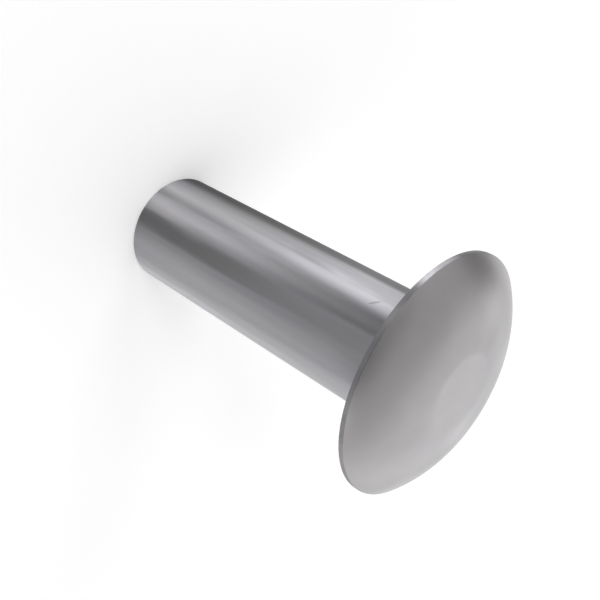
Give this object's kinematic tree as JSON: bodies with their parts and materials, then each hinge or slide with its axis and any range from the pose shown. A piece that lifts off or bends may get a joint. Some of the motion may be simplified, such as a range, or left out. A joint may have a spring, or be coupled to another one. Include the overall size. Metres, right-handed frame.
{
  "type": "mushroom-head solid rivet",
  "caption": "Solid rivet with a plain round shank and a low domed head that has a thin straight rim and a small flat on its crown.",
  "frame": {"origin": "on the rivet's axis, level with the flat underside of the head that seats on the riveted sheet", "axes": "+Z along the axis, from the shank up through the head; X and Y are any two radial directions"},
  "size_m": [0.008, 0.008, 0.0132],
  "materials": {
    "metal": "satin, as headed and tumbled"
  },
  "bodies": {
    "root": {"rivet": "metal"}
  },
  "joints": []
}
